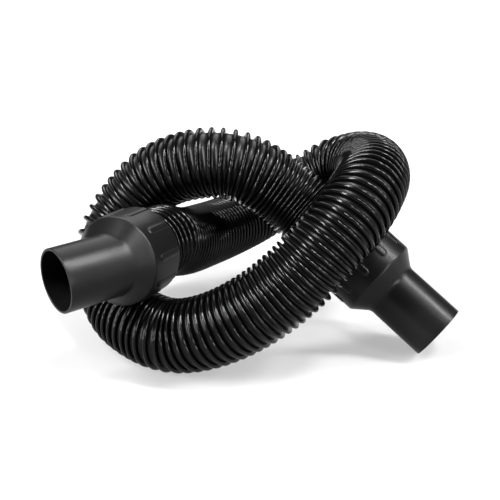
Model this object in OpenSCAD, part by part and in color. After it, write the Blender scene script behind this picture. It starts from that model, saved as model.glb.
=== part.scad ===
// Stretch vacuum hose, loosely knotted, with a swivel cuff on each end.
// Units are millimetres. +Z is up and the floor is z = 0.

/* [Hose] */
// Outside diameter over the ribs
hose_od = 47; // [46.8:0.1:47]
// Depth of the groove between two ribs
groove_depth = 3; // [2:0.1:3.1]
// Inside diameter
hose_id = 38; // [37:0.2:38.4]
// Ribs along the whole hose
rib_count = 168; // [120:2:170]
// Turn of the eight-sided rings about the hose's axis
ring_turn = 40; // [0:1:44]

/* [Cuffs] */
// Outside diameter of a spigot
spigot_od = 38; // [37.6:0.1:38.2]
// Inside diameter of a spigot
spigot_id = 35; // [34:0.5:35.5]
// Length of the straight spigot, from the shoulder to the mouth
spigot_len = 41; // [36:1:46]
// Length of the angled spigot, measured on its axis
angled_len = 32; // [30:1:36]
// Angle between the angled spigot and its collar
angled_deg = 26.5; // [22:0.5:28]
// Outside diameter of a collar
collar_od = 55; // [54.6:0.1:55]
// Length of a collar
collar_len = 27.2; // [26.4:0.1:27.6]
// Length of the cone between collar and spigot
cone_len = 10.4; // [9.6:0.2:11]

/* [Grip ribs] */
// Grip ribs round a collar
grip_count = 10; // [6:1:12]
// Height of a grip rib
grip_h = 0.6; // [0.3:0.1:0.6]
// Width of a grip rib
grip_w = 3.8; // [3:0.2:5]
// Length of a grip rib from the collar's open end
grip_len = 21; // [12:1:23]

/* [Threaded sleeve] */
// Outside diameter of the sleeve that the hose is bonded into
sleeve_od = 50; // [49.8:0.1:50]
// Length of hose inside the sleeve
hose_seat = 24; // [23.6:0.1:24]
// How far the sleeve's rim stands out of the collar
sleeve_out = 1; // [0.5:0.1:1.2]
// Height of the snap bead that holds the collar
bead_h = 0.9; // [0.6:0.1:1]
// Gap between collar and sleeve, on the radius
swivel_gap = 0.3; // [0.25:0.05:0.4]

/* [Hidden] */
$fn = 96;

// The origin is on the floor, under the middle of the two cuffs.
middle = [-6.8, 23.1, 0];

// Each end is placed by the centre of its collar's open end and by the
// direction in which its spigot side points, as a heading and a pitch.
left_at = middle + [-67.7, -16.7, 75.2];
left_head = 245;
left_pitch = 4;
left_roll = -79.5;
left_phase = 34.5;
right_at = middle + [65, 13.5, 61.6];
right_head = -29;
right_pitch = -36;
right_roll = 10;
right_phase = 21;

// Route of the hose between its two straight ends.
route = [
  [-54, 16, 69.6],
  [-48.7, 31, 63.8],
  [-42.7, 48, 59],
  [-35, 66.5, 55.5],
  [-25, 86, 52.7],
  [-13, 105, 51.5],
  [2, 123, 53],
  [18, 137, 58],
  [34, 143, 66],
  [51, 139, 77],
  [65, 124, 89],
  [75, 101, 98],
  [81, 75, 105],
  [83.5, 47, 109],
  [80.5, 17, 110.5],
  [73.5, -6, 108.5],
  [66, -20.5, 103],
  [56, -31, 94],
  [44, -38, 82.5],
  [31, -42, 69],
  [16.5, -43.5, 56],
  [2, -44, 45.5],
  [-14.5, -42, 35.5],
  [-31, -38, 28],
  [-46, -32, 23.5],
  [-58, -26, 23],
  [-68.5, -16.5, 23],
  [-78, -4.5, 23],
  [-86, 9, 23],
  [-93, 24, 26],
  [-98, 39, 33],
  [-102, 53.5, 43.6],
  [-100.2, 63, 57.3],
  [-91.8, 66.6, 72.2],
  [-80.5, 63.2, 86.3],
  [-68.5, 58.5, 98.6],
  [-54, 49, 108.5],
  [-39, 39.5, 114.8],
  [-25.5, 34, 117.6],
  [-11, 32, 116.5],
  [3, 32.5, 111],
  [15, 33.8, 102.7],
  [26.5, 32.8, 93.7],
  [37, 29.5, 84.8]
];

function heading(h, p) = [cos(h) * cos(p), sin(h) * cos(p), sin(p)];
function unit(v) = v / norm(v);

left_axis = heading(left_head, left_pitch);
right_axis = heading(right_head, right_pitch);

// The hose runs straight for one diameter at each end.
left_start = left_at + left_axis * hose_seat;
right_start = right_at + right_axis * hose_seat;
knots = concat(
  [left_start, left_start - left_axis * 22, left_start - left_axis * hose_od],
  [for (p = route) middle + p],
  [right_start - right_axis * hose_od, right_start - right_axis * 22, right_start]
);
ends = len(knots) - 1;
ctrl = concat([2 * knots[0] - knots[1]], knots, [2 * knots[ends] - knots[ends - 1]]);

function spline(a, b, c, d, t) =
  0.5 * (2 * b + (c - a) * t + (2 * a - 5 * b + 4 * c - d) * t * t + (3 * b - a - 3 * c + d) * t * t * t);

steps = 12;
fine = concat(
  [
    for (i = [1 : len(ctrl) - 3])
      for (k = [0 : steps - 1])
        spline(ctrl[i - 1], ctrl[i], ctrl[i + 1], ctrl[i + 2], k / steps)
  ],
  [ctrl[len(ctrl) - 2]]
);
run = [
  for (i = 0, s = 0; i < len(fine); s = s + (i + 1 < len(fine) ? norm(fine[i + 1] - fine[i]) : 0), i = i + 1)
    s
];
hose_len = run[len(run) - 1];
along_x = [for (i = [0 : len(fine) - 1]) [run[i], fine[i][0]]];
along_y = [for (i = [0 : len(fine) - 1]) [run[i], fine[i][1]]];
along_z = [for (i = [0 : len(fine) - 1]) [run[i], fine[i][2]]];
function at(s) = [lookup(s, along_x), lookup(s, along_y), lookup(s, along_z)];
function way(s) = unit(at(min(s + 1.5, hose_len)) - at(max(s - 1.5, 0)));

// Two rings for each rib: one in the groove and one on the crest.
ring_count = 2 * rib_count + 1;
sides = 8;
stations = [for (k = [0 : ring_count - 1]) k * hose_len / (ring_count - 1)];
centres = [for (s = stations) at(s)];
ways = [for (s = stations) way(s)];
function square_to(v, t) = unit(v - (v * t) * t);
first_side = square_to([0, 0, 1], ways[0]);
side_dirs = [
  for (k = 0, v = first_side; k < ring_count; v = k + 1 < ring_count ? square_to(v, ways[k + 1]) : v, k = k + 1)
    v
];
function ring(k, r) = [
  for (j = [0 : sides - 1])
    let (a = ring_turn + j * 360 / sides)
    let (p = centres[k] + r * (cos(a) * side_dirs[k] + sin(a) * cross(ways[k], side_dirs[k])))
    [p[0], p[1], max(p[2], 0)]
];
crest_r = hose_od / 2;
groove_r = crest_r - groove_depth;
bore_r = hose_id / 2;
bore_step = 4;
bore_rings = (ring_count - 1) / bore_step;

// The least gap between two turns of the knot, ribs included.
near = [
  for (i = [0 : 2 : ring_count - 1])
    for (j = [i + 2 : 2 : ring_count - 1])
      if (stations[j] - stations[i] > 90) norm(centres[j] - centres[i])
];
echo(hose_length = hose_len);
echo(least_gap_to_itself = min(near) - hose_od);
lowest = [for (k = [1 : 2 : ring_count - 1]) min([for (p = ring(k, crest_r)) p[2]])];
echo(ribs_on_the_floor = len([for (z = lowest) if (z == 0) z]));

function band(a, b, n) = [
  for (j = [0 : n - 1])
    let (q = (j + 1) % n)
    for (f = [[a + j, b + j, b + q], [a + j, b + q, a + q]])
      f
];

module hose() {
  outer = [for (k = [0 : ring_count - 1]) each ring(k, k % 2 == 0 ? groove_r : crest_r)];
  inner = [for (k = [0 : bore_rings]) each ring(k * bore_step, bore_r)];
  base = len(outer);
  last = base + bore_rings * sides;
  faces = concat(
    [for (k = [0 : ring_count - 2]) each band(k * sides, (k + 1) * sides, sides)],
    [for (k = [0 : bore_rings - 1]) each band(base + (k + 1) * sides, base + k * sides, sides)],
    band(base, 0, sides),
    band((ring_count - 1) * sides, last, sides)
  );
  color("#121314")
    polyhedron(points = concat(outer, inner), faces = faces, convexity = 20);
}

// An end's own frame has its origin at the centre of the collar's open end
// and +Z pointing out of the cuff.
module place(at_point, head, pitch, roll) {
  translate(at_point)
    rotate([0, 90 - pitch, head])
      rotate([0, 0, roll])
        children();
}

bore_wall = sleeve_od / 2 + swivel_gap;
bead_at = 12;
cone_end = collar_len + cone_len;
seal_at = hose_seat + 1.6;
// On the angled spigot's axis: where its bore begins and its root ends.
bore_from = 3;
shoulder_to = 11;

module collar_shape() {
  rotate_extrude()
    polygon([
      [bore_wall, 0],
      [collar_od / 2 - 0.5, 0],
      [collar_od / 2, 0.5],
      [collar_od / 2 - 0.1, collar_len - 0.6],
      [collar_od / 2 - 0.5, collar_len],
      [20, collar_len + 5],
      [20, collar_len],
      [bore_wall, collar_len],
      [bore_wall, bead_at + 2.1],
      [bore_wall + bead_h + 0.1, bead_at + 1.6],
      [bore_wall + bead_h + 0.1, bead_at - 1.6],
      [bore_wall, bead_at - 2.1]
    ]);
}

module grip_ribs(phase) {
  for (k = [0 : grip_count - 1])
    rotate([0, 0, phase + k * 360 / grip_count])
      translate([collar_od / 2 - 1, 0, 0])
        rotate([0, 90, 0])
          union() {
            translate([-grip_len + grip_w / 2, 0, 0])
              cylinder(r = grip_w / 2, h = 1 + grip_h, $fn = 24);
            translate([-grip_len + grip_w / 2, -grip_w / 2, 0])
              cube([grip_len - grip_w / 2 - 0.6, grip_w, 1 + grip_h]);
          }
}

module straight_cone() {
  rotate_extrude()
    polygon([
      [20, collar_len - 0.2],
      [collar_od / 2 - 0.5, collar_len - 0.2],
      [collar_od / 2 - 0.5, collar_len],
      [spigot_od / 2 + 2.2, cone_end - 2.6],
      [spigot_od / 2 + 0.9, cone_end - 1],
      [spigot_od / 2, cone_end + 0.6],
      [spigot_id / 2, cone_end + 0.6],
      [spigot_id / 2, collar_len + 5],
      [20, collar_len + 5]
    ]);
}

module straight_spigot() {
  translate([0, 0, cone_end - 1])
    difference() {
      cylinder(d = spigot_od, h = spigot_len + 1);
      translate([0, 0, -1])
        cylinder(d = spigot_id, h = spigot_len + 3);
    }
}

module left_cuff() {
  color("#2b2c2e")
    place(left_at, left_head, left_pitch, left_roll)
      angled_cuff();
}

module right_cuff() {
  color("#2b2c2e")
    place(right_at, right_head, right_pitch, right_roll)
      straight_cuff();
}

module straight_cuff() {
  collar_shape();
  grip_ribs(right_phase);
  straight_cone();
  straight_spigot();
}

// The angled spigot leaves the cone's end at an angle, towards local +X.
module angled_cuff() {
  collar_shape();
  grip_ribs(left_phase);
  difference() {
    union() {
      hull() {
        translate([0, 0, collar_len - 0.2])
          cylinder(r = collar_od / 2 - 0.5, h = 0.2, $fn = 64);
        translate([0, 0, cone_end])
          scale([1 / cos(angled_deg), 1, 1])
            cylinder(r = spigot_od / 2 + 0.8, h = 0.2, $fn = 64);
      }
      intersection() {
        translate([0, 0, cone_end])
          rotate([0, angled_deg, 0])
            translate([0, 0, -14])
              union() {
                cylinder(d = spigot_od, h = angled_len + 14);
                cylinder(r = spigot_od / 2 + 0.6, h = shoulder_to + 13.4);
                translate([0, 0, shoulder_to + 13.4])
                  cylinder(r1 = spigot_od / 2 + 0.6, r2 = spigot_od / 2 - 0.2, h = 0.8);
              }
        translate([-60, -60, cone_end])
          cube([120, 120, 80]);
      }
    }
    translate([0, 0, collar_len - 1])
      cylinder(r = 20, h = 6);
    intersection() {
      translate([0, 0, cone_end])
        rotate([0, angled_deg, 0])
          translate([0, 0, -14])
            union() {
              cylinder(r = spigot_id / 2 + 0.5, h = bore_from + 14);
              translate([0, 0, 14])
                cylinder(d = spigot_id, h = angled_len + 1);
            }
      translate([-60, -60, collar_len + 4])
        cube([120, 120, 80]);
    }
  }
}

// The sleeve is fixed on the hose, and the collar snaps over its bead.
module sleeve_shape() {
  rotate_extrude()
    polygon([
      [crest_r + 0.1, -sleeve_out],
      [sleeve_od / 2 - 0.3, -sleeve_out],
      [sleeve_od / 2, -sleeve_out + 0.3],
      [sleeve_od / 2, bead_at - 1.7],
      [sleeve_od / 2 + bead_h, bead_at - 1.1],
      [sleeve_od / 2 + bead_h, bead_at + 1.1],
      [sleeve_od / 2, bead_at + 1.7],
      [sleeve_od / 2, seal_at - 0.4],
      [sleeve_od / 2 - 0.4, seal_at],
      [bore_r, seal_at],
      [bore_r, hose_seat],
      [crest_r + 0.1, hose_seat]
    ]);
}

module seal_shape() {
  rotate_extrude()
    polygon([
      [20, seal_at],
      [24, seal_at],
      [24, collar_len - 0.7],
      [23.4, collar_len - 0.3],
      [20.6, collar_len - 0.3],
      [20, collar_len - 0.7]
    ]);
}

module left_sleeve() {
  color("#1b1c1d")
    place(left_at, left_head, left_pitch, left_roll)
      sleeve_shape();
}

module right_sleeve() {
  color("#1b1c1d")
    place(right_at, right_head, right_pitch, right_roll)
      sleeve_shape();
}

module left_seal() {
  color("#404040")
    place(left_at, left_head, left_pitch, left_roll)
      seal_shape();
}

module right_seal() {
  color("#404040")
    place(right_at, right_head, right_pitch, right_roll)
      seal_shape();
}

hose();
left_sleeve();
left_seal();
left_cuff();
right_sleeve();
right_seal();
right_cuff();
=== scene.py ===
import math

import bpy
import numpy as np
from mathutils import Matrix, Vector


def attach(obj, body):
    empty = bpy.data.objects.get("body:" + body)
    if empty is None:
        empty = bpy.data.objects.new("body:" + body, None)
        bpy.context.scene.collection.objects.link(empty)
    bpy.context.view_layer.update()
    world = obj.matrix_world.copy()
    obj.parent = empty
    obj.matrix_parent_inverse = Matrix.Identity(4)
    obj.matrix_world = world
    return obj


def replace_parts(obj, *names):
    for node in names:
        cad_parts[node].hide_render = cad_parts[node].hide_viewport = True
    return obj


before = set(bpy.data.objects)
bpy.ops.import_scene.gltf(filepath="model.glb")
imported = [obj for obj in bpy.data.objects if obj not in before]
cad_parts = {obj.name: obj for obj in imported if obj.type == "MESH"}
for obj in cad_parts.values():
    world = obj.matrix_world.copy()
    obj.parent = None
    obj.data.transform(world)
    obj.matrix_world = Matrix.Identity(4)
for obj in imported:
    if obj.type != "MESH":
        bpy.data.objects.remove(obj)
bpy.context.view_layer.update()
print("frame loaded:", ", ".join(sorted(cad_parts)))

mm = 0.001
# origin of the points below; the model's own lies on the floor, under the middle of the cuffs
middle = np.array([-6.8, 23.1, 0.0])


# sRGB hex to linear RGBA: the standard two-part curve
def hexColour(code):
    parts = [int(code[i : i + 2], 16) / 255 for i in (1, 3, 5)]
    return [p / 12.92 if p <= 0.04045 else ((p + 0.055) / 1.055) ** 2.4 for p in parts] + [1]


# vectors of length 1, along the last axis
def unit(v):
    return v / np.linalg.norm(v, axis=-1, keepdims=True)


# 3 x 3 matrix that turns about X, Y or Z
def turnAbout(axis, degrees):
    return np.array(Matrix.Rotation(math.radians(degrees), 3, axis))


# quadratic curve from a to b that bends towards the corner: (1-t)^2 a + 2t(1-t) corner + t^2 b
def curveRound(a, corner, b, t):
    return (1 - t) ** 2 * a + 2 * t * (1 - t) * corner + t**2 * b


# of count rings spaced evenly from the first to the last, those between the two
def ringsBetween(first, last, count):
    return first + np.linspace(0, 1, count)[1:-1, None, None] * (last - first)


# mesh object from an array of points and a list of faces, riding on a body
def newPiece(name, points, faces, body, material):
    mesh = bpy.data.meshes.new(name)
    mesh.from_pydata(points.reshape(-1, 3).tolist(), [], faces)
    mesh.validate()
    mesh.shade_smooth()
    piece = bpy.data.objects.new(name, mesh)
    bpy.context.collection.objects.link(piece)
    mesh.materials.append(material)
    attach(piece, body)
    return piece


# one number for each point, which a material reads by name
def addFloats(piece, name, values):
    layer = piece.data.attributes.new(name, "FLOAT", "POINT")
    layer.data.foreach_set("value", np.ascontiguousarray(values, dtype=np.float32).ravel())


# quads of a grid whose columns close round; closeRows joins the last row to the first
def gridFaces(rows, cols, closeRows=False, start=0):
    r = np.arange(rows if closeRows else rows - 1)[:, None]
    c = np.arange(cols)[None, :]
    nextR = (r + 1) % rows
    nextC = (c + 1) % cols
    quads = [r * cols + c, r * cols + nextC, nextR * cols + nextC, nextR * cols + c]
    return (np.stack(quads, axis=-1).reshape(-1, 4) + start).tolist()


# a shader node with its settings, input values and links {input: output socket}
def addNode(tree, kind, links=None, inputs=None, **settings):
    node = tree.nodes.new("ShaderNode" + kind)
    for key, value in settings.items():
        setattr(node, key, value)
    for key, value in (inputs or {}).items():
        node.inputs[key].default_value = value
    for key, socket in (links or {}).items():
        tree.links.new(socket, node.inputs[key])
    return node


# an empty material with its tree, Principled shader and Object coordinates
def newMaterial(name):
    material = bpy.data.materials.new(name)
    material.use_nodes = True
    tree = material.node_tree
    shader = tree.nodes["Principled BSDF"]
    place = addNode(tree, "TexCoord").outputs["Object"]
    return material, tree, shader, place


# noise scale, on coordinates in metres, for spots about this many mm across: one cell of the
# noise is three spots wide, since its finer octaves lie inside it
def noiseScale(size):
    return 1000 / size / 3


vinylLook = {
    "colour": "#030303",
    "dust": "#050505",  # in the grooves
    "roughness": 0.12,
    "smoother": 0.06,  # the roughness goes this far below that
    "rougher": 0.12,  # and this far above
    "filmRoughness": 0.36,
    "filmBelow": 0.5,  # share of the bead's height under which the film's finish begins
    "ior": 1.22,  # low for vinyl, so that the ribs stay black over a white floor
    "cloud": 60,  # noise scale of the uneven gloss
    "ripple": 2.6,  # mm, length of the soft ripples in the skin
    "rippleBump": {"Strength": 0.25, "Distance": 0.00022},
    "grain": 0.35,  # mm, orange peel of the skin
    "grainBump": {"Strength": 0.12, "Distance": 0.00006},
}


# flexible PVC, extruded: black, with sharp highlights on a slightly wavy skin and a duller film
def softVinyl():
    look = vinylLook
    material, tree, shader, place = newMaterial("extrudedSoftVinyl")
    bead = addNode(tree, "Attribute", attribute_name="bead").outputs["Fac"]
    ripple, grain, cloud = (
        addNode(tree, "TexNoise", {"Vector": place}, {"Scale": scale, "Detail": detail}).outputs[0]
        for scale, detail in (
            (noiseScale(look["ripple"]), 2),
            (noiseScale(look["grain"]), 1),
            (look["cloud"], 3),
        )
    )
    low = addNode(
        tree,
        "MapRange",
        {"Value": bead},
        {"From Min": 0.0, "From Max": look["filmBelow"], "To Min": 1.0, "To Max": 0.0},
    ).outputs[0]
    dust = addNode(tree, "Math", {0: low, 1: cloud}, operation="MULTIPLY").outputs[0]
    colour = addNode(
        tree,
        "Mix",
        {"Factor": dust},
        {"A": hexColour(look["colour"]), "B": hexColour(look["dust"])},
        data_type="RGBA",
    )
    roughness = look["roughness"]
    rough = addNode(
        tree,
        "MapRange",
        {"Value": cloud},
        {"To Min": roughness - look["smoother"], "To Max": roughness + look["rougher"]},
    ).outputs[0]
    dull = addNode(tree, "Mix", {"Factor": low, "A": rough}, {"B": look["filmRoughness"]})
    peel = addNode(tree, "Bump", {"Height": grain}, look["grainBump"]).outputs[0]
    wave = addNode(tree, "Bump", {"Height": ripple, "Normal": peel}, look["rippleBump"])
    tree.links.new(colour.outputs["Result"], shader.inputs["Base Color"])
    tree.links.new(dull.outputs[0], shader.inputs["Roughness"])
    tree.links.new(wave.outputs[0], shader.inputs["Normal"])
    shader.inputs["IOR"].default_value = look["ior"]
    return material


mouldedLook = {
    "cuff": ("#080808", "#161616", 0.32),  # colour, colour where worn, roughness
    "sleeve": ("#151516", "#333335", 0.34),
    "seal": ("#1c1c1c", "#2c2c2c", 0.6),
    "smoother": 0.07,
    "rougher": 0.1,
    "ior": 1.2,  # low for a moulded plastic, as the vinyl's is
    "cloud": 45,  # noise scale of the uneven gloss and wear
    "scuff": (0.35, 0.75),  # span of the noise over which the wear sets in
    "grain": 0.5,  # mm
    "grainBump": {"Strength": 0.2, "Distance": 0.00005},
}


# injection-moulded polyolefin, and nitrile rubber for the seals: satin with a very fine grain,
# paler on worn edges
def mouldedSatin(name, finish):
    look = mouldedLook
    fresh, worn, roughness = look[finish]
    material, tree, shader, place = newMaterial(name)
    wear = addNode(tree, "Attribute", attribute_name="wear").outputs["Fac"]
    cloud = addNode(
        tree,
        "TexNoise",
        {"Vector": place},
        {"Scale": look["cloud"], "Detail": 5, "Roughness": 0.65},
    ).outputs[0]
    grain = addNode(
        tree, "TexNoise", {"Vector": place}, {"Scale": noiseScale(look["grain"]), "Detail": 2}
    )
    scuffFrom, scuffTo = look["scuff"]
    scuff = addNode(
        tree, "MapRange", {"Value": cloud}, {"From Min": scuffFrom, "From Max": scuffTo}
    ).outputs[0]
    edge = addNode(tree, "Math", {0: wear, 1: scuff}, operation="MULTIPLY").outputs[0]
    tint = addNode(
        tree,
        "Mix",
        {"Factor": edge},
        {"A": hexColour(fresh), "B": hexColour(worn)},
        data_type="RGBA",
    )
    rough = addNode(
        tree,
        "MapRange",
        {"Value": cloud},
        {"To Min": roughness - look["smoother"], "To Max": roughness + look["rougher"]},
    )
    bump = addNode(tree, "Bump", {"Height": grain.outputs[0]}, look["grainBump"])
    tree.links.new(tint.outputs["Result"], shader.inputs["Base Color"])
    tree.links.new(rough.outputs[0], shader.inputs["Roughness"])
    tree.links.new(bump.outputs[0], shader.inputs["Normal"])
    shader.inputs["IOR"].default_value = look["ior"]
    return material


vinyl = softVinyl()
cuffPlastic = mouldedSatin("mouldedCuffPlastic", "cuff")
sleevePlastic = mouldedSatin("mouldedSleevePlastic", "sleeve")
sealRubber = mouldedSatin("mouldedNitrileRubber", "seal")
print("materials made")

cuff = {
    "spigotR": 19.0,
    "boreR": 17.5,
    "collarR": 27.5,
    "collarLen": 27.2,
    "coneLen": 10.4,
    "draft": 0.1,  # the collar is this much smaller at its cone
    "cavityR": 20.0,
    "cavityLen": 5.0,  # the cavity's reach into the cone
    "wallR": 25.3,  # inside of the collar, over the sleeve
    "beadAt": 12.0,
    "beadH": 1.0,  # depth of the groove for the sleeve's bead
    "grooveHalf": (1.6, 2.1),  # half its width, at the bottom and at the wall
    "rounds": [0.25, 0.45, 1.0, 0],  # from the collar's inner rim to the cone's end
    "lipRound": 0.4,
    "lipLen": 3.0,
    "gripCount": 10,
    "gripH": 0.6,
    "gripW": 3.8,
    "gripLen": 21.0,
    "gripStart": (0.2, 0.6),  # where a grip rib starts to rise, and over what length
    "edge": 0.35,  # softness of a grip rib's sides
    "gripCrown": 0.7,  # columns lie this far from a grip rib's middle
    "gapSteps": 11,  # across the gap between two grip ribs
    "wearSlope": 0.1,  # a grip rib's side is worn in full where it rises this much a column
    # how finely each stretch of the wall is cut
    "cornerSteps": 6,
    "wallSteps": 44,
    "coneSteps": 8,
    "filletSteps": 8,
    "spigotSteps": 16,
    "boreSteps": 10,
}
coneEnd = cuff["collarLen"] + cuff["coneLen"]
# at: middle of the collar's open end; head, pitch and roll turn the collar's axis from Z;
# phase: place of the first grip rib; spigot: its length; bend: its angle to the collar;
# fillet: how far from the spigot's root the curve there starts
ends = {
    "left": {
        "at": [-67.7, -16.7, 75.2],
        "head": 245,
        "pitch": 4,
        "roll": -79.5,
        "phase": 34.5,
        "spigot": 32.0,
        "bend": 26.5,
        "fillet": 1.3,
    },
    "right": {
        "at": [65, 13.5, 61.6],
        "head": -29,
        "pitch": -36,
        "roll": 10,
        "phase": 21,
        "spigot": 41.0,
        "bend": 0.0,
        "fillet": 2.0,
    },
}
for end in ends.values():
    end["at"] = middle + np.array(end["at"], float)
    turnDown = turnAbout("Y", 90 - end["pitch"])
    end["turn"] = turnAbout("Z", end["head"]) @ turnDown @ turnAbout("Z", end["roll"])
    end["axis"] = end["turn"][:, 2]


# from the end's own frame in mm to the model's frame in metres
def intoPlace(points, end):
    return (points @ end["turn"].T + end["at"]) * mm


# 2-D profile with each corner replaced by a quadratic curve that starts its radius away,
# and a mark for each point: 0 on the flats, up to 1 in the middle of a corner
def roundCorners(profile, radii, steps=5):
    profile = np.array(profile, float)
    out, marks = [], []
    for i, corner in enumerate(profile):
        r = radii[i]
        if r == 0:
            out.append(corner[None])
            marks.append([0.0])
            continue
        a = corner + unit(profile[i - 1] - corner) * r
        b = corner + unit(profile[(i + 1) % len(profile)] - corner) * r
        out.append(curveRound(a, corner, b, np.linspace(0, 1, steps)[:, None]))
        marks.append(np.sin(np.linspace(0, np.pi, steps)))
    return np.concatenate(out), np.concatenate(marks)


# columns round the collar, closer together at the grip ribs' sides
def gripAngles(phase):
    half = cuff["gripW"] / 2
    soft = cuff["edge"]
    near = np.array([-half - soft, -half - soft / 2, -half, -half + soft / 2, -half + soft])
    crown = cuff["gripCrown"]
    rib = np.concatenate([near, [-crown, 0, crown], -near[::-1]]) / cuff["collarR"]
    step = 2 * np.pi / cuff["gripCount"]
    between = np.linspace(rib[-1], step + rib[0], cuff["gapSteps"])[1:-1]
    one = np.concatenate([rib, between])
    centres = math.radians(phase) + step * np.arange(cuff["gripCount"])
    return (centres[:, None] + one[None, :]).ravel()


# smooth step: 3x^2 - 2x^3
def smooth(x):
    return x**2 * (3 - 2 * x)


# height of the grip ribs: a bar with a round end, its side and its start a smooth step
def gripHeight(z, angle, phase):
    step = 2 * np.pi / cuff["gripCount"]
    across = (((angle - math.radians(phase) + step / 2) % step) - step / 2) * cuff["collarR"]
    half = cuff["gripW"] / 2
    past = np.maximum(z - (cuff["gripLen"] - half), 0)
    out = np.hypot(across, past) - half
    side = np.clip(0.5 - out / (2 * cuff["edge"]), 0, 1)
    startAt, rise = cuff["gripStart"]
    start = np.clip((z - startAt) / rise, 0, 1)
    return cuff["gripH"] * smooth(side) * smooth(start)


# a circle for each radius and height, as rows of a grid
def circles(radius, z, angle):
    radius, z = np.broadcast_arrays(np.asarray(radius, float), np.asarray(z, float))
    across = [radius[:, None] * np.cos(angle), radius[:, None] * np.sin(angle)]
    return np.stack(across + [z[:, None] + 0 * angle], axis=-1)


# A closed wall of rings: collar, cone, spigot, mouth and back along the bore. The spigot's
# rings are turned by the bend. The cone's lines run from the collar's circle to the oval in
# which the spigot meets the cone's end plane, with a curved fillet there.
def makeCuff(name, end, body):
    angle = gripAngles(end["phase"])
    bend = math.radians(end["bend"])
    tilt = turnAbout("Y", end["bend"])
    mouthAt = end["spigot"]
    spigotR, boreR, wallR = cuff["spigotR"], cuff["boreR"], cuff["wallR"]
    collarR, collarLen = cuff["collarR"], cuff["collarLen"]
    cavityEnd = collarLen + cuff["cavityLen"]

    def bent(rings):
        return rings @ tilt.T + np.array([0, 0, coneEnd])

    # where the spigot's cylinder of that radius cuts a plane square to the collar:
    # distance along the spigot = radius cos(angle) tan(bend) + height over the cone / cos(bend)
    def joinRing(radius, plane):
        t = radius * np.cos(angle) * math.tan(bend) + (plane - coneEnd) / math.cos(bend)
        return bent(np.stack([radius * np.cos(angle), radius * np.sin(angle), t], axis=-1))[None]

    # collar up to the cone's first ring, with the grip ribs raised out of its wall
    steps = cuff["cornerSteps"]
    shoulder, shoulderWear = roundCorners(
        [[wallR, 0], [collarR, 0], [collarR - cuff["draft"], collarLen], [spigotR, coneEnd]],
        cuff["rounds"],
        steps,
    )
    shoulder, shoulderWear = shoulder[:-1], shoulderWear[:-1]  # joinRing ends the cone
    rim = 2 * steps  # points of the two corners at the open end
    wall = np.linspace(shoulder[rim - 1], shoulder[rim], cuff["wallSteps"])[1:-1]
    profile = np.concatenate([shoulder[:rim], wall, shoulder[rim:]])
    wear = np.concatenate([shoulderWear[:rim], 0 * wall[:, 0], shoulderWear[rim:]])
    onOutside = profile[:, :1] > wallR + 0.5  # past the inner rim's rounding
    grip = gripHeight(profile[:, 1:2], angle, end["phase"]) * onOutside
    outer = circles(profile[:, 0], profile[:, 1], angle)
    outer[..., 0] += grip * np.cos(angle)
    outer[..., 1] += grip * np.sin(angle)

    # cone, fillet, spigot and its rounded lip
    join = joinRing(spigotR, coneEnd)[0]
    start = outer[-1]
    lipRound = cuff["lipRound"]
    mouth = bent(circles([spigotR], [mouthAt - lipRound], angle))[0]
    a = join + unit(start - join) * end["fillet"]
    b = join + unit(mouth - join) * end["fillet"]
    curve = curveRound(a, join, b, np.linspace(0, 1, cuff["filletSteps"])[:, None, None])
    coneRows = ringsBetween(start, a, cuff["coneSteps"])
    spigotRows = ringsBetween(b, mouth, cuff["spigotSteps"])
    lipFrom = mouthAt - cuff["lipLen"]
    lip, lipWear = roundCorners(
        [[spigotR, lipFrom], [spigotR, mouthAt], [boreR, mouthAt], [boreR, lipFrom]],
        [0, lipRound, lipRound, 0],
    )
    lip, lipWear = lip[1:], lipWear[1:]
    lipRows = bent(circles(lip[:, 0], lip[:, 1], angle))

    # back along the bore, the seat of the seal and the groove for the bead
    boreEnd = joinRing(boreR, cavityEnd)
    boreRows = ringsBetween(lipRows[-1], boreEnd[0], cuff["boreSteps"])
    bottom, brim = cuff["grooveHalf"]
    beadAt, grooveR = cuff["beadAt"], wallR + cuff["beadH"]
    inside = np.array(
        [
            [cuff["cavityR"], cavityEnd],
            [cuff["cavityR"], collarLen],
            [wallR, collarLen],
            [wallR, beadAt + brim],
            [grooveR, beadAt + bottom],
            [grooveR, beadAt - bottom],
            [wallR, beadAt - brim],
        ]
    )
    insideRows = circles(inside[:, 0], inside[:, 1], angle)
    rows = np.concatenate(
        [outer, coneRows, curve, spigotRows, lipRows, boreRows, boreEnd, insideRows]
    )
    unworn = np.zeros(len(coneRows) + len(curve) + len(spigotRows))
    unwornInside = np.zeros(len(boreRows) + len(boreEnd) + len(inside))
    rowWear = np.concatenate([wear, unworn, lipWear, unwornInside])
    gripEdge = np.zeros(rows.shape[:2])
    slope = np.abs(np.diff(grip, axis=1, append=grip[:, :1]))
    gripEdge[: len(grip)] = np.clip(slope / cuff["wearSlope"], 0, 1)
    faces = gridFaces(len(rows), len(angle), closeRows=True)
    piece = newPiece(name, intoPlace(rows, end), faces, body, cuffPlastic)
    addFloats(piece, "wear", np.maximum(rowWear[:, None], gripEdge))
    return piece


sleeve = {
    "outsideR": 25,
    "socketR": 23.6,  # the hose is bonded in here
    "boreR": 19,
    "out": 1,  # how far the rim stands out of the collar
    "stopAt": 24,  # the hose's end stands on this step
    "length": 25.6,
    "beadR": 25.9,
    "beadHalf": (1.1, 1.7),  # half the bead's width, at its top and at its foot
    "rounds": [0.2, 0.3, 0, 0.2, 0.2, 0, 0.3, 0.2, 0.2, 0],
    "columns": 128,
}


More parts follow.
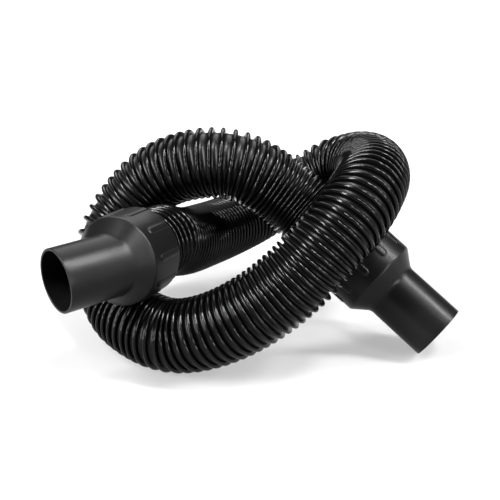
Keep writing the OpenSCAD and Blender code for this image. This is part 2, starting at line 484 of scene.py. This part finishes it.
# turned ring: rim, barrel with its snap bead, stop and hose socket
def makeSleeve(name, end, body):
    beadAt = cuff["beadAt"]
    top, foot = sleeve["beadHalf"]
    profile, wear = roundCorners(
        [
            [sleeve["socketR"], -sleeve["out"]],
            [sleeve["outsideR"], -sleeve["out"]],
            [sleeve["outsideR"], beadAt - foot],
            [sleeve["beadR"], beadAt - top],
            [sleeve["beadR"], beadAt + top],
            [sleeve["outsideR"], beadAt + foot],
            [sleeve["outsideR"], sleeve["length"]],
            [sleeve["boreR"], sleeve["length"]],
            [sleeve["boreR"], sleeve["stopAt"]],
            [sleeve["socketR"], sleeve["stopAt"]],
        ],
        sleeve["rounds"],
    )
    angle = np.linspace(0, 2 * np.pi, sleeve["columns"], endpoint=False)
    rows = circles(profile[:, 0], profile[:, 1], angle)
    faces = gridFaces(len(rows), len(angle), closeRows=True)
    piece = newPiece(name, intoPlace(rows, end), faces, body, sleevePlastic)
    addFloats(piece, "wear", np.repeat(wear[:, None], len(angle), axis=1))
    return piece


hoseBody = "hose_with_sleeves"
for side, end in ends.items():
    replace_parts(makeCuff(side + "CuffShell", end, side + "_cuff"), side + "_cuff")
    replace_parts(makeSleeve(side + "SleeveRing", end, hoseBody), side + "_sleeve")
    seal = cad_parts[side + "_seal"]
    seal.data.materials.clear()
    seal.data.materials.append(sealRubber)
print("cuffs, sleeves and seals made")

hose = {
    "crestR": 23.5,
    "depth": 3.7,  # of the film under the crest
    "boreR": 19.0,
    "ribs": 168,
    "seat": 24.0,  # length inside the sleeve
    "guide": 22.0,  # a point of the straight end lies this far from the seat
    "skinIn": 1.5,  # the skin's stretch is taken this far under the crest
    "columns": 46,
    # half a bead's section: distance from its crest and height over the film
    "bead": [[0, 3.7], [0.63, 3.46], [1.1, 2.85], [1.31, 2.05], [1.36, 1.1], [1.64, 0.2]],
    "firstTurn": 0.8,  # turns from the hose's end to the first crest
    "leastStretch": 0.2,  # the stretch inside a bend is taken as no less than this
    "beadShare": 0.46,  # half a bead takes at most this share of the pitch
    # how far the ribs are pulled apart, at distances from the left end; the pitch goes with it
    "pull": [
        [167, 1.0],
        [200, 1.25],
        [240, 1.8],
        [286, 2.2],
        [335, 2.2],
        [389, 1.4],
        [421, 1.08],
        [449, 0.95],
        [525, 0.98],
        [567, 1.15],
        [637, 1.5],
        [783, 1.5],
        [820, 1.25],
        [850, 0.95],
        [880, 0.78],
    ],
    # share of its component along leanAxis that a ring's axis loses, at distances from the left
    # end, because bent stretch hose shears
    "lean": [
        [180, 0],
        [215, 0.5],
        [250, 0.65],
        [320, 0.65],
        [370, 0.4],
        [440, 0],
        [560, 0],
        [600, 0.5],
        [800, 0.5],
        [850, 0],
    ],
    "leanDown": 20,  # degrees by which leanAxis points down, towards the back
    "steps": 40,  # curve steps a span
    "pathPoints": 341,  # of the centre line, as the cord's path
    # the curve's points between the two straight ends
    "route": [
        [-54, 16, 69.6],
        [-48.7, 31, 63.8],
        [-42.7, 48, 59],
        [-35, 66.5, 55.5],
        [-25, 86, 52.7],
        [-13, 105, 51.5],
        [2, 123, 53],
        [18, 137, 58],
        [34, 143, 66],
        [51, 139, 77],
        [65, 124, 89],
        [75, 101, 98],
        [81, 75, 105],
        [83.5, 47, 109],
        [80.5, 17, 110.5],
        [73.5, -6, 108.5],
        [66, -20.5, 103],
        [56, -31, 94],
        [44, -38, 82.5],
        [31, -42, 69],
        [16.5, -43.5, 56],
        [2, -44, 45.5],
        [-14.5, -42, 35.5],
        [-31, -38, 28],
        [-46, -32, 23.5],
        [-58, -26, 23],
        [-68.5, -16.5, 23],
        [-78, -4.5, 23],
        [-86, 9, 23],
        [-93, 24, 26],
        [-98, 39, 33],
        [-102, 53.5, 43.6],
        [-100.2, 63, 57.3],
        [-91.8, 66.6, 72.2],
        [-80.5, 63.2, 86.3],
        [-68.5, 58.5, 98.6],
        [-54, 49, 108.5],
        [-39, 39.5, 114.8],
        [-25.5, 34, 117.6],
        [-11, 32, 116.5],
        [3, 32.5, 111],
        [15, 33.8, 102.7],
        [26.5, 32.8, 93.7],
        [37, 29.5, 84.8],
    ],
}


# Catmull-Rom curve through the route, straight for one diameter at each end: points about
# half a millimetre apart and their distance along the curve
def hoseLine():
    left, right = ends["left"], ends["right"]
    a = left["at"] + left["axis"] * hose["seat"]
    b = right["at"] + right["axis"] * hose["seat"]
    guide, straight = hose["guide"], 2 * hose["crestR"]
    knots = np.concatenate(
        [
            [a, a - left["axis"] * guide, a - left["axis"] * straight],
            middle + np.array(hose["route"], float),
            [b - right["axis"] * straight, b - right["axis"] * guide, b],
        ]
    )
    ctrl = np.concatenate([[2 * knots[0] - knots[1]], knots, [2 * knots[-1] - knots[-2]]])
    t = np.linspace(0, 1, hose["steps"], endpoint=False)[None, :, None]
    p0, p1, p2, p3 = (ctrl[i : len(ctrl) - 3 + i][:, None, :] for i in range(4))
    square = (2 * p0 - 5 * p1 + 4 * p2 - p3) * t**2
    cube = (3 * p1 - p0 - 3 * p2 + p3) * t**3
    spans = 0.5 * (2 * p1 + (p2 - p0) * t + square + cube)
    line = np.concatenate([spans.reshape(-1, 3), knots[-1:]])
    run = np.concatenate([[0], np.cumsum(np.linalg.norm(np.diff(line, axis=0), axis=1))])
    return line, run


line, run = hoseLine()
hoseLength = run[-1]


# values given at the curve's points, read at distances s
def alongLine(values, s):
    return np.stack([np.interp(s, run, values[:, i]) for i in range(3)], axis=-1)


# the curve's direction at each point, and a side vector carried along without twist
def carriedSides():
    ways = unit(np.gradient(line, run, axis=0))
    sides = np.empty_like(line)
    v = np.array([0.0, 0, 1])
    for k, w in enumerate(ways):
        v = v - (v @ w) * w
        v = v / np.linalg.norm(v)
        sides[k] = v
    return ways, sides


ways, sides = carriedSides()
bends = np.gradient(ways, run, axis=0)  # curvature, towards the inside of each bend


# turns of the bead from the curve's start to each of its points: fewer where it is pulled
# out, the sum of distance / pull, scaled to the number of ribs
def ribTurns():
    pull = np.interp(run, *np.array(hose["pull"]).T)
    steps = np.diff(run) * 0.5 * (1 / pull[1:] + 1 / pull[:-1])
    turns = np.concatenate([[0], np.cumsum(steps)])
    return turns * hose["ribs"] / turns[-1]


turnsRun = ribTurns()
leanDown = math.radians(hose["leanDown"])
leanAxis = np.array([0, math.cos(leanDown), -math.sin(leanDown)])


# At distance s: the centre, the vector that points out at that angle, and the stretch, which
# is length on the skin for one unit of length on the centre line: 1 - bend towards it * radius.
def frameAt(s, angle):
    centre = alongLine(line, s)
    w = alongLine(ways, s)
    lean = np.interp(s, *np.array(hose["lean"]).T)[..., None]
    w = unit(w - lean * (w @ leanAxis)[..., None] * leanAxis)
    u = alongLine(sides, s)
    u = unit(u - (u * w).sum(-1, keepdims=True) * w)
    out = np.cos(angle)[..., None] * u + np.sin(angle)[..., None] * np.cross(w, u)
    stretch = 1 - (alongLine(bends, s) * out).sum(-1) * (hose["crestR"] - hose["skinIn"])
    return centre, out, stretch


# point at distance s along the curve, turned by angle about it, radius away from it
def aroundLine(s, angle, radius):
    centre, out, _ = frameAt(s, angle)
    return centre + radius[..., None] * out


# Helical bead. Row m is one line of the bead's section and column j an angle: the crest of
# turn k lies where the turns along the curve reach firstTurn + k + j / columns, and a row lies
# its own offset from it. So the rows run along the bead, and each turn's last column joins the
# next turn's first. The bore is a plain tube, and rings at both ends close the wall.
def makeHose():
    n = hose["columns"]
    half = np.array(hose["bead"])
    # one turn's section: down from the bead's far side over its crest, then the groove's middle
    offset = np.concatenate([-half[:0:-1, 0], half[:, 0], [0]])
    height = np.concatenate([half[:0:-1, 1], half[:, 1], [0]])
    isGroove = np.concatenate([np.zeros(2 * len(half) - 1), [1]])
    perTurn = len(offset)
    turns = hose["ribs"] - 2  # a short piece at each end has no bead
    rowH = np.tile(height, turns)
    rows = len(rowH)
    j = np.arange(n)
    turnOfRow = np.repeat(np.arange(turns), perTurn) + hose["firstTurn"]
    # the groove's middle lies half a turn past its crest
    crestTurn = (turnOfRow + 0.5 * np.tile(isGroove, turns))[:, None] + j / n
    s = np.interp(crestTurn, turnsRun, run)
    ringAngle = j * 2 * np.pi / n
    angle = np.broadcast_to(ringAngle, s.shape)
    pitchHere = np.interp(s, run, np.gradient(run, turnsRun))
    stretch = np.maximum(frameAt(s, angle)[2], hose["leastStretch"])
    # offsets grow by the root of pitch / (even pitch * stretch), so that on the skin a bead is
    # wider by the root of the ribs' distance there; half a bead keeps to its share of the pitch
    ratio = stretch / pitchHere * hoseLength / hose["ribs"]
    squeeze = np.minimum(ratio**-0.5, hose["beadShare"] * pitchHere / half[-1, 0])
    s = s + np.tile(offset, turns)[:, None] * squeeze
    filmR = hose["crestR"] - hose["depth"]
    radius = filmR + np.broadcast_to(rowH[:, None], s.shape)
    skin = aroundLine(s, angle, radius)
    flat = np.full(n, filmR)
    first = aroundLine(np.zeros(n), ringAngle, flat)
    last = aroundLine(np.full(n, hoseLength), ringAngle, flat)
    boreRows = hose["ribs"] // 2 + 1
    boreS = np.repeat(np.linspace(0, hoseLength, boreRows)[:, None], n, axis=1)
    boreAngle = np.broadcast_to(ringAngle, boreS.shape)
    bore = aroundLine(boreS, boreAngle, np.full(boreS.shape, hose["boreR"]))
    points = np.concatenate([skin.reshape(-1, 3), first, last, bore.reshape(-1, 3)])
    firstAt = rows * n
    lastAt = firstAt + n
    boreAt = lastAt + n

    # skin, and the seam between each turn's last column and the next turn's first
    m = np.arange(rows - 1)[:, None]
    c = np.arange(n - 1)[None, :]
    below, above = m * n + c, (m + 1) * n + c
    inner = np.stack([below, below + 1, above + 1, above], -1).reshape(-1, 4)
    m = np.arange(rows - 1 - perTurn)
    seamA, seamB = m * n + n - 1, (m + perTurn) * n
    seam = np.stack([seamA, seamB, seamB + n, seamA + n], -1)

    # end rings, with one many-sided face at each end where the bead starts and stops
    c = np.arange(n - 1)
    top = (rows - 1) * n
    start = np.stack([firstAt + c, firstAt + c + 1, c + 1, c], -1)
    finish = np.stack([top + c, top + c + 1, lastAt + c + 1, lastAt + c], -1)
    faces = np.concatenate([inner, seam, start, finish]).tolist()
    faces.append([firstAt + n - 1, firstAt] + [k * n for k in range(perTurn + 1)] + [n - 1])
    ramp = [(rows - 1 - k) * n + n - 1 for k in range(perTurn + 1)]
    faces.append([ramp[-1], top, lastAt, lastAt + n - 1] + ramp[:-1])

    # bore, facing inwards, and the flat rims between it and the end rings
    faces += [quad[::-1] for quad in gridFaces(boreRows, n, start=boreAt)]
    nextJ = (j + 1) % n
    boreEnd = boreAt + (boreRows - 1) * n
    faces += np.stack([boreAt + j, boreAt + nextJ, firstAt + nextJ, firstAt + j], -1).tolist()
    faces += np.stack([lastAt + j, lastAt + nextJ, boreEnd + nextJ, boreEnd + j], -1).tolist()

    points[:, 2] = np.maximum(points[:, 2], 0)  # the ribs rest on the floor
    piece = newPiece("ribbedHose", points * mm, faces, hoseBody, vinyl)
    heightShare = (radius - filmR).ravel() / hose["depth"]
    addFloats(piece, "bead", np.concatenate([heightShare, np.zeros(len(points) - rows * n)]))
    return piece


ribbedHose = makeHose()
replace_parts(ribbedHose, "hose")
print("hose made: %.0f mm long, %d ribs" % (hoseLength, hose["ribs"]))

view = {
    "elevation": 20.0,
    "roll": -1.0,
    "distance": 515.0,  # mm from the target
    "target": [0.0, 0.0, 68.0],  # mm from middle
    "lens": 57.6,
    "floor": "#6f6f6f",  # a grey that comes out white under these lamps, with its glow
    "floorHalf": 8,  # metres
    "glow": 0.4,  # added to the floor where it is seen
}
light = {
    "up": (5, 20, 35, 50, 65),  # elevations of a strip's lamps
    "size": 10,  # degrees across one lamp
    # azimuth from the front, positive to the right, and the energy at each elevation
    "left": (-60, (2.6, 3.1, 3.5, 3.5, 3.0)),
    "right": (82, (0.4, 0.8, 1.6, 3.2, 4.6)),
    "front": (45, (1.8, 1.6, 0.4, 0.4, 0.4)),
    "back": 2.2,  # energy of the lamp behind
    "backAt": (0.0, 0.7, 0.8),  # its direction
    "backSize": 50,  # degrees across it
    "aim": (0, 0.04, 0.06),  # metres; the lamps stand round this point
    "room": 0.08,  # even light from all round
}


# camera on a circle in front of the knot, looking down at it and slightly rolled
def setCamera():
    camera = bpy.data.cameras.new("camera")
    camera.lens = view["lens"]
    camera.sensor_width = 36
    camera.clip_end = 100
    holder = bpy.data.objects.new("camera", camera)
    bpy.context.collection.objects.link(holder)
    e = math.radians(view["elevation"])
    right = Vector((1, 0, 0))
    up = Vector((0, math.sin(e), math.cos(e)))
    back = Vector((0, -math.cos(e), math.sin(e)))
    roll = Matrix.Rotation(math.radians(view["roll"]), 3, "Z")
    turn = Matrix((right, up, back)).transposed() @ roll
    place = (Vector(middle) + Vector(view["target"]) + back * view["distance"]) * mm
    holder.matrix_world = Matrix.Translation(place) @ turn.to_4x4()
    bpy.context.scene.camera = holder


# plain matt floor, large enough to fill the view, with a glow only where it is seen
def setFloor():
    mesh = bpy.data.meshes.new("floor")
    r = view["floorHalf"]
    mesh.from_pydata([(-r, -r, 0), (r, -r, 0), (r, r, 0), (-r, r, 0)], [], [(0, 1, 2, 3)])
    floor = bpy.data.objects.new("floor", mesh)
    bpy.context.collection.objects.link(floor)
    material = bpy.data.materials.new("mattFloor")
    material.use_nodes = True
    tree = material.node_tree
    shader = tree.nodes["Principled BSDF"]
    shader.inputs["Base Color"].default_value = hexColour(view["floor"])
    shader.inputs["Roughness"].default_value = 0.9
    shader.inputs["Specular IOR Level"].default_value = 0.1
    ray = addNode(tree, "LightPath").outputs
    seen = ray["Is Camera Ray"]
    for kind in ("Is Glossy Ray", "Is Transmission Ray"):
        seen = addNode(tree, "Math", {0: seen, 1: ray[kind]}, operation="MAXIMUM").outputs[0]
    glow = addNode(tree, "Math", {0: seen}, {1: view["glow"]}, operation="MULTIPLY").outputs[0]
    tree.links.new(glow, shader.inputs["Emission Strength"])
    shader.inputs["Emission Color"].default_value = (1, 1, 1, 1)
    mesh.materials.append(material)


# distant lamp that shines from that direction; size is its angle across
def addLamp(name, energy, way, size):
    lamp = bpy.data.lights.new(name, "SUN")
    lamp.energy = energy
    lamp.angle = math.radians(size)
    holder = bpy.data.objects.new(name, lamp)
    holder.location = Vector(light["aim"]) + Vector(way)
    holder.rotation_euler = Vector(way).to_track_quat("Z", "Y").to_euler()
    holder.visible_camera = False
    bpy.context.collection.objects.link(holder)


# a tall strip of lamps on the left, the right and the front, one lamp behind, and a dim room
def setLight():
    for side in ("left", "right", "front"):
        azimuth, energies = light[side]
        a = math.radians(azimuth)
        for k, (up, energy) in enumerate(zip(light["up"], energies)):
            e = math.radians(up)
            way = (math.cos(e) * math.sin(a), -math.cos(e) * math.cos(a), math.sin(e))
            addLamp("%sStrip%d" % (side, k), energy, way, light["size"])
    addLamp("backLamp", light["back"], light["backAt"], light["backSize"])
    world = bpy.data.worlds.new("room")
    world.use_nodes = True
    background = world.node_tree.nodes["Background"].inputs
    background["Color"].default_value = (1, 1, 1, 1)
    background["Strength"].default_value = light["room"]
    bpy.context.scene.world = world


setCamera()
setFloor()
setLight()
bpy.context.scene.view_settings.view_transform = "Standard"
print("camera, floor and light set")
